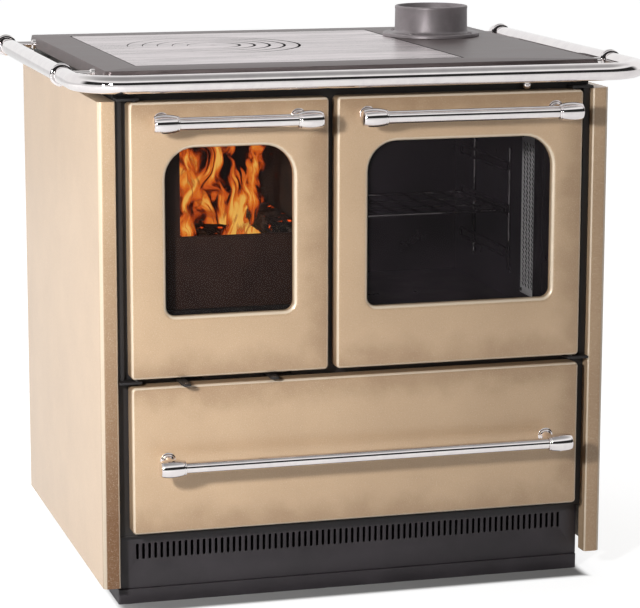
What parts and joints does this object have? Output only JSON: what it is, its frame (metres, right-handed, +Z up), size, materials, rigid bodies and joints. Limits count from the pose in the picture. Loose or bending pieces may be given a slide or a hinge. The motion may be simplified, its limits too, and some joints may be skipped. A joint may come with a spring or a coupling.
{
  "type": "wood cookstove",
  "caption": "Free-standing wood cookstove: glazed fire door and oven door, fuel drawer, ring hob in a cast top, flue collar and a rail round three sides.",
  "frame": {"origin": "middle of the bounding box's bottom, on the floor", "axes": "+X to the right as one faces the doors, +Y from the doors to the back, +Z up"},
  "size_m": [0.957, 0.782, 0.9135],
  "materials": {
    "enamel": "fired metallic enamel, beige-gold, satin gloss with a fine speckle",
    "charcoal_steel": "matt charcoal paint",
    "black_steel": "matt black heat-proof paint",
    "galvanised": "galvanised sheet",
    "refractory": "pressed refractory board, sooted",
    "raw_cast_iron": "raw casting",
    "oven_enamel": "dark fired enamel",
    "wire": "chromed wire",
    "cast_top": "cast iron, ground and blackened, satin",
    "brushed_hob": "machined cast hob, fine straight brushing",
    "flue_iron": "grey painted casting",
    "chrome": "polished chrome",
    "glass": "clear heat-proof glass",
    "gasket_rope": "braided glass-fibre rope"
  },
  "bodies": {
    "root": {"base_frame": "charcoal_steel", "plinth_grille": "charcoal_steel", "floor_plate": "black_steel", "side_panel_left": "enamel", "side_panel_right": "enamel", "back_panel": "galvanised", "front_frame": "black_steel", "stove_body": "black_steel", "firebox_lining_left": "refractory", "firebox_lining_right": "refractory", "firebox_lining_back": "refractory", "fire_grate": "raw_cast_iron", "log_guard": "raw_cast_iron", "ash_pan": "black_steel", "oven_box": "oven_enamel", "oven_rack_left": "wire", "oven_rack_right": "wire", "oven_shelf": "wire", "oven_vent_strip": "oven_enamel", "top_frame": "cast_top", "hob_plate": "brushed_hob", "flue_collar": "flue_iron", "hand_rail": "chrome", "rail_bracket_front_left": "chrome", "rail_bracket_front_right": "chrome", "rail_bracket_rear_left": "chrome", "rail_bracket_rear_right": "chrome", "fire_door_hinge": "black_steel", "oven_door_hinge": "black_steel", "drawer_runner_left": "black_steel", "drawer_runner_right": "black_steel"},
    "fire_door": {"fire_door": "enamel", "fire_door_glass": "glass", "fire_door_inner_frame": "black_steel", "fire_door_gasket": "gasket_rope", "fire_handle_bar": "chrome", "fire_handle_end_left": "chrome", "fire_handle_end_right": "chrome"},
    "oven_door": {"oven_door": "enamel", "oven_door_glass": "glass", "oven_door_inner_frame": "black_steel", "oven_door_gasket": "gasket_rope", "oven_handle_bar": "chrome", "oven_handle_end_left": "chrome", "oven_handle_end_right": "chrome"},
    "drawer": {"drawer_front": "enamel", "drawer_box": "black_steel", "drawer_handle_bar": "chrome", "drawer_handle_end_left": "chrome", "drawer_handle_end_right": "chrome"},
    "bypass": {"bypass_damper": "black_steel", "bypass_knob": "chrome"},
    "primary_air": {"primary_air_slide": "black_steel"},
    "secondary_air": {"secondary_air_slide": "black_steel"},
    "ring_1": {"hob_ring_1": "brushed_hob"},
    "ring_2": {"hob_ring_2": "brushed_hob"},
    "ring_3": {"hob_ring_3": "brushed_hob"},
    "ring_4": {"hob_ring_4": "brushed_hob"},
    "disc": {"hob_disc": "brushed_hob"}
  },
  "joints": [
    {"name": "fire_door_swing", "type": "hinge", "parent": "root", "child": "fire_door", "pos_m": [-0.364, -0.295, 0.593], "axis": [0, 0, -1], "range_deg": [0, 90]},
    {"name": "oven_door_swing", "type": "hinge", "parent": "root", "child": "oven_door", "pos_m": [0.364, -0.295, 0.593], "axis": [0, 0, 1], "range_deg": [0, 90]},
    {"name": "drawer_pull", "type": "slide", "parent": "root", "child": "drawer", "axis": [0, -1, 0], "range_m": [0, 0.4]},
    {"name": "bypass_pull", "type": "slide", "parent": "root", "child": "bypass", "axis": [0, -1, 0], "range_m": [0, 0.06]},
    {"name": "primary_air_shift", "type": "slide", "parent": "root", "child": "primary_air", "axis": [1, 0, 0], "range_m": [0, 0.03]},
    {"name": "secondary_air_shift", "type": "slide", "parent": "root", "child": "secondary_air", "axis": [1, 0, 0], "range_m": [0, 0.03]},
    {"name": "ring_1_lift", "type": "slide", "parent": "root", "child": "ring_1", "axis": [0, 0, 1], "range_m": [0, 0.06]},
    {"name": "ring_2_lift", "type": "slide", "parent": "ring_1", "child": "ring_2", "axis": [0, 0, 1], "range_m": [0, 0.06]},
    {"name": "ring_3_lift", "type": "slide", "parent": "ring_2", "child": "ring_3", "axis": [0, 0, 1], "range_m": [0, 0.06]},
    {"name": "ring_4_lift", "type": "slide", "parent": "ring_3", "child": "ring_4", "axis": [0, 0, 1], "range_m": [0, 0.06]},
    {"name": "disc_lift", "type": "slide", "parent": "ring_4", "child": "disc", "axis": [0, 0, 1], "range_m": [0, 0.06]}
  ]
}
